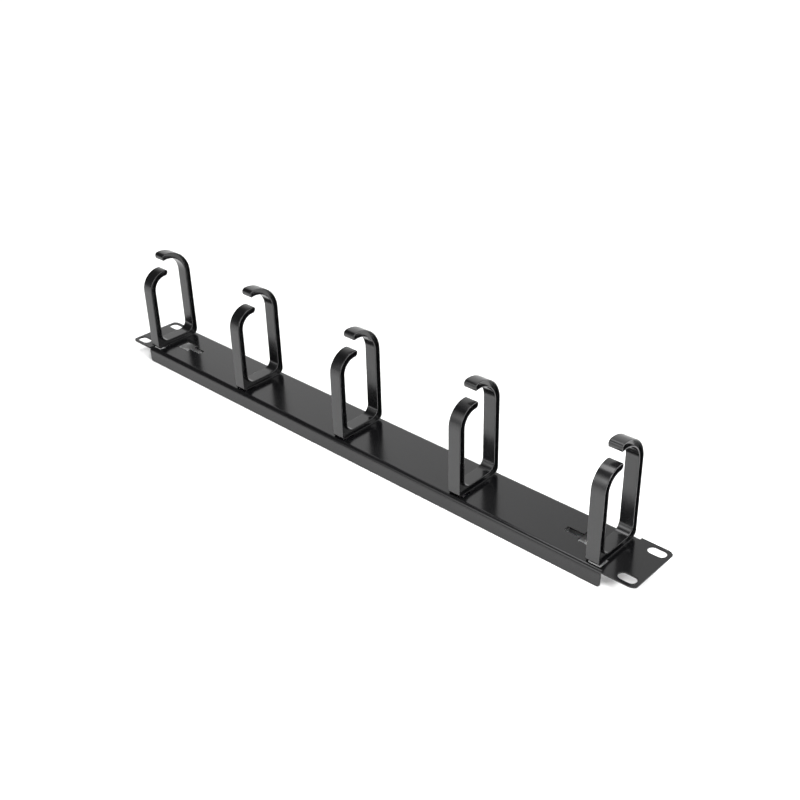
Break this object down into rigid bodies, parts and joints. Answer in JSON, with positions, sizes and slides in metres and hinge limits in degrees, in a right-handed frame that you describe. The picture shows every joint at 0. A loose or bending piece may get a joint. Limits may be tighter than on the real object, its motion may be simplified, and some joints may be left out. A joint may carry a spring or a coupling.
{
  "type": "rack cable management panel",
  "caption": "One-unit rack panel of folded black steel that carries a row of open, moulded plastic cable rings.",
  "frame": {"origin": "middle of the footprint, at the foot of the two folded edges", "axes": "+X along the panel, +Z out of its face towards the rings' arches, -Y towards the short front arches"},
  "size_m": [0.4826, 0.044, 0.089],
  "materials": {
    "black_powder_coat": "satin black powder coat on steel sheet",
    "black_moulded_plastic": "satin black injection-moulded plastic"
  },
  "bodies": {
    "root": {"folded_panel": "black_powder_coat", "cable_ring_1": "black_moulded_plastic", "cable_ring_2": "black_moulded_plastic", "cable_ring_3": "black_moulded_plastic", "cable_ring_4": "black_moulded_plastic", "cable_ring_5": "black_moulded_plastic"}
  },
  "joints": []
}
